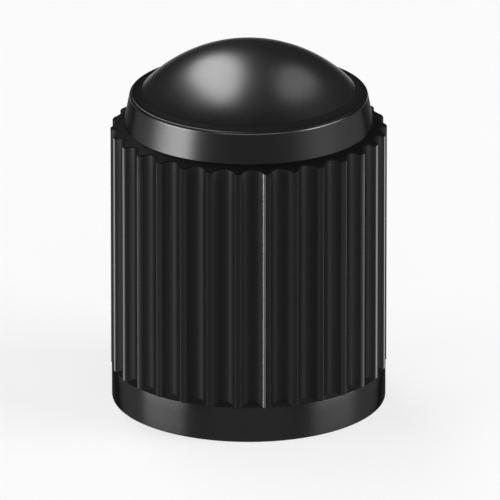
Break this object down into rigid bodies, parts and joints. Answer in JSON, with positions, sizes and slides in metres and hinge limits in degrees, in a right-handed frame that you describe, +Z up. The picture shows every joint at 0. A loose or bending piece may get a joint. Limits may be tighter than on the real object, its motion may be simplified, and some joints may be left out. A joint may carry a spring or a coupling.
{
  "type": "tyre valve cap",
  "caption": "Black moulded dust cap that screws on a tyre valve stem: fluted grip over a plain band, conical shoulder, tapered collar, low dome and blind socket.",
  "frame": {"origin": "centre of the mouth, on the plane that the rim stands on", "axes": "+Z up along the cap's axis from the mouth to the dome; a land of the grip lies on +X; the picture looks about along +Y"},
  "size_m": [0.01, 0.01, 0.0134],
  "materials": {
    "black_plastic": "satin black, as moulded"
  },
  "bodies": {
    "root": {"valve_cap": "black_plastic"}
  },
  "joints": []
}
